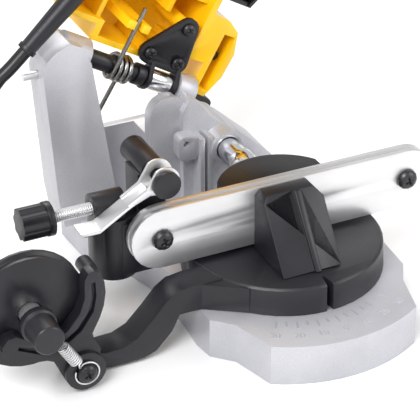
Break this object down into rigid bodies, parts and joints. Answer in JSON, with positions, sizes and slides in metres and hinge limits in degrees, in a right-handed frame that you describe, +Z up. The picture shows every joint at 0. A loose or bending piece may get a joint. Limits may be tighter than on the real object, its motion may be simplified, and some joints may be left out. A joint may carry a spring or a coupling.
{
  "type": "bench chain sharpener",
  "caption": "Bench grinder for saw chain: a tilting yellow head with a thin abrasive wheel over a swivelling chain vise with a chain stop, on a cast base.",
  "frame": {"origin": "centre of the sharpener's footprint box on the table, its cord left out", "axes": "+X along the chain rails at zero vise angle, to the operator's right; -Y towards the operator; +Z up"},
  "size_m": [0.3654, 0.2565, 0.2614],
  "materials": {
    "cast": "satin, as cast",
    "yellow": "moulded, slight gloss",
    "black": "moulded, satin",
    "zinc": "zinc plated",
    "chrome": "bright",
    "dark_steel": "blackened",
    "abrasive": "gritty bonded abrasive",
    "copper": "varnished winding",
    "cord": "smooth"
  },
  "bodies": {
    "base": {"base_casting": "cast", "hinge_axle": "zinc", "spring_sleeve": "black", "hinge_collar": "black", "cover_screw": "zinc", "return_spring": "dark_steel", "power_cord": "cord", "cord_coil": "cord", "cord_tail": "cord", "mains_plug": "black"},
    "clamp": {"clamp_plunger": "chrome"},
    "clamp_knob": {"clamp_knob": "black"},
    "table": {"turntable": "black", "fixed_jaw": "black", "front_rail": "zinc", "rail_screw_left": "dark_steel", "rail_screw_right": "dark_steel", "rail_nut": "dark_steel", "table_bolt": "zinc", "table_washer": "zinc", "stop_post": "black", "stop_peg": "black", "roller_axle": "zinc", "axle_cap": "black", "guard_screw": "dark_steel", "guard_spring": "zinc"},
    "lock_knob": {"lock_knob": "black"},
    "jaw": {"moving_jaw": "black", "rear_rail": "zinc"},
    "stop_carrier": {"stop_carrier": "black", "pawl_pin": "black"},
    "stop_screw": {"stop_screw": "zinc", "stop_knob": "black"},
    "pawl": {"pawl": "zinc"},
    "hook": {"guard_hook": "black"},
    "roller": {"roller": "black"},
    "head": {"head_housing": "yellow", "hinge_bracket": "black", "hinge_bush": "chrome", "bracket_screw_1": "dark_steel", "bracket_screw_2": "dark_steel", "bracket_screw_3": "dark_steel", "motor_field": "dark_steel", "front_bearing": "zinc", "rear_bearing": "zinc", "brush_carrier": "dark_steel", "motor_cover": "yellow", "wheel_guard": "black", "guard_cover": "black", "guard_screw_1": "dark_steel", "guard_screw_2": "dark_steel", "handle_grip": "black", "strain_relief": "black"},
    "spindle": {"armature": "copper", "inner_flange": "zinc", "grinding_wheel": "abrasive", "outer_flange": "zinc", "wheel_nut": "zinc"},
    "switch": {"switch_rocker": "black"},
    "depth_screw": {"depth_screw": "black"}
  },
  "joints": [
    {"name": "head_pivot", "type": "hinge", "parent": "base", "child": "head", "pos_m": [-0.00174, 0.03946, 0.0875], "axis": [0.866, 0, -0.5], "range_deg": [0, 68], "stiffness_Nm_per_rad": 1.3, "springref_deg": -17.19, "deforming": ["return_spring", "power_cord"]},
    {"name": "wheel_spin", "type": "hinge", "parent": "head", "child": "spindle", "pos_m": [0.08729, 0.05821, 0.15891], "axis": [0.866, 0, -0.5], "continuous": true},
    {"name": "table_swivel", "type": "hinge", "parent": "base", "child": "table", "pos_m": [0.03476, -0.04554, 0.02], "axis": [0, 0, 1], "range_deg": [-30, 30]},
    {"name": "clamp_knob_turn", "type": "hinge", "parent": "base", "child": "clamp_knob", "pos_m": [0.03476, 0.06446, 0.051], "axis": [0, -1, 0], "range_deg": [0, 230.5]},
    {"name": "clamp_slide", "type": "slide", "parent": "base", "child": "clamp", "axis": [0, -1, 0], "range_m": [0, 0.0008]},
    {"name": "jaw_slide", "type": "slide", "parent": "table", "child": "jaw", "axis": [0, -1, 0], "range_m": [0, 0.00081]},
    {"name": "lock_knob_turn", "type": "hinge", "parent": "table", "child": "lock_knob", "pos_m": [0.03476, -0.04554, 0.006], "axis": [0, 0, 1], "continuous": true},
    {"name": "stop_slide", "type": "slide", "parent": "table", "child": "stop_carrier", "axis": [1, 0, 0], "range_m": [-0.004, 0.004]},
    {"name": "stop_screw_turn", "type": "hinge", "parent": "stop_carrier", "child": "stop_screw", "pos_m": [-0.06524, -0.03354, 0.0652], "axis": [1, 0, 0], "range_deg": [-1441, 1441]},
    {"name": "pawl_hinge", "type": "hinge", "parent": "stop_carrier", "child": "pawl", "pos_m": [-0.02724, -0.04554, 0.08], "axis": [0, 1, 0], "range_deg": [0, 95]},
    {"name": "hook_swing", "type": "hinge", "parent": "table", "child": "hook", "pos_m": [-0.07824, -0.07354, 0.011], "axis": [0, 1, 0], "range_deg": [0, 6], "stiffness_Nm_per_rad": 0.05, "springref_deg": -17.19, "deforming": ["guard_spring"]},
    {"name": "roller_spin", "type": "hinge", "parent": "table", "child": "roller", "pos_m": [-0.09924, -0.06354, 0.042], "axis": [0, 1, 0], "continuous": true},
    {"name": "switch_rock", "type": "hinge", "parent": "head", "child": "switch", "pos_m": [0.04105, 0.09521, 0.18561], "axis": [0.866, 0, -0.5], "range_deg": [0, 10]},
    {"name": "depth_screw_turn", "type": "hinge", "parent": "head", "child": "depth_screw", "pos_m": [0.04273, 0.08946, 0.08492], "axis": [0, -1, 0], "range_deg": [-720, 720]}
  ],
  "couplings": [
    {"joint": "clamp_knob_turn", "follows": "clamp_slide", "rad_per_m": 5026.5},
    {"joint": "jaw_slide", "follows": "clamp_slide", "ratio": 1},
    {"joint": "stop_screw_turn", "follows": "stop_slide", "rad_per_m": 6283.2}
  ]
}
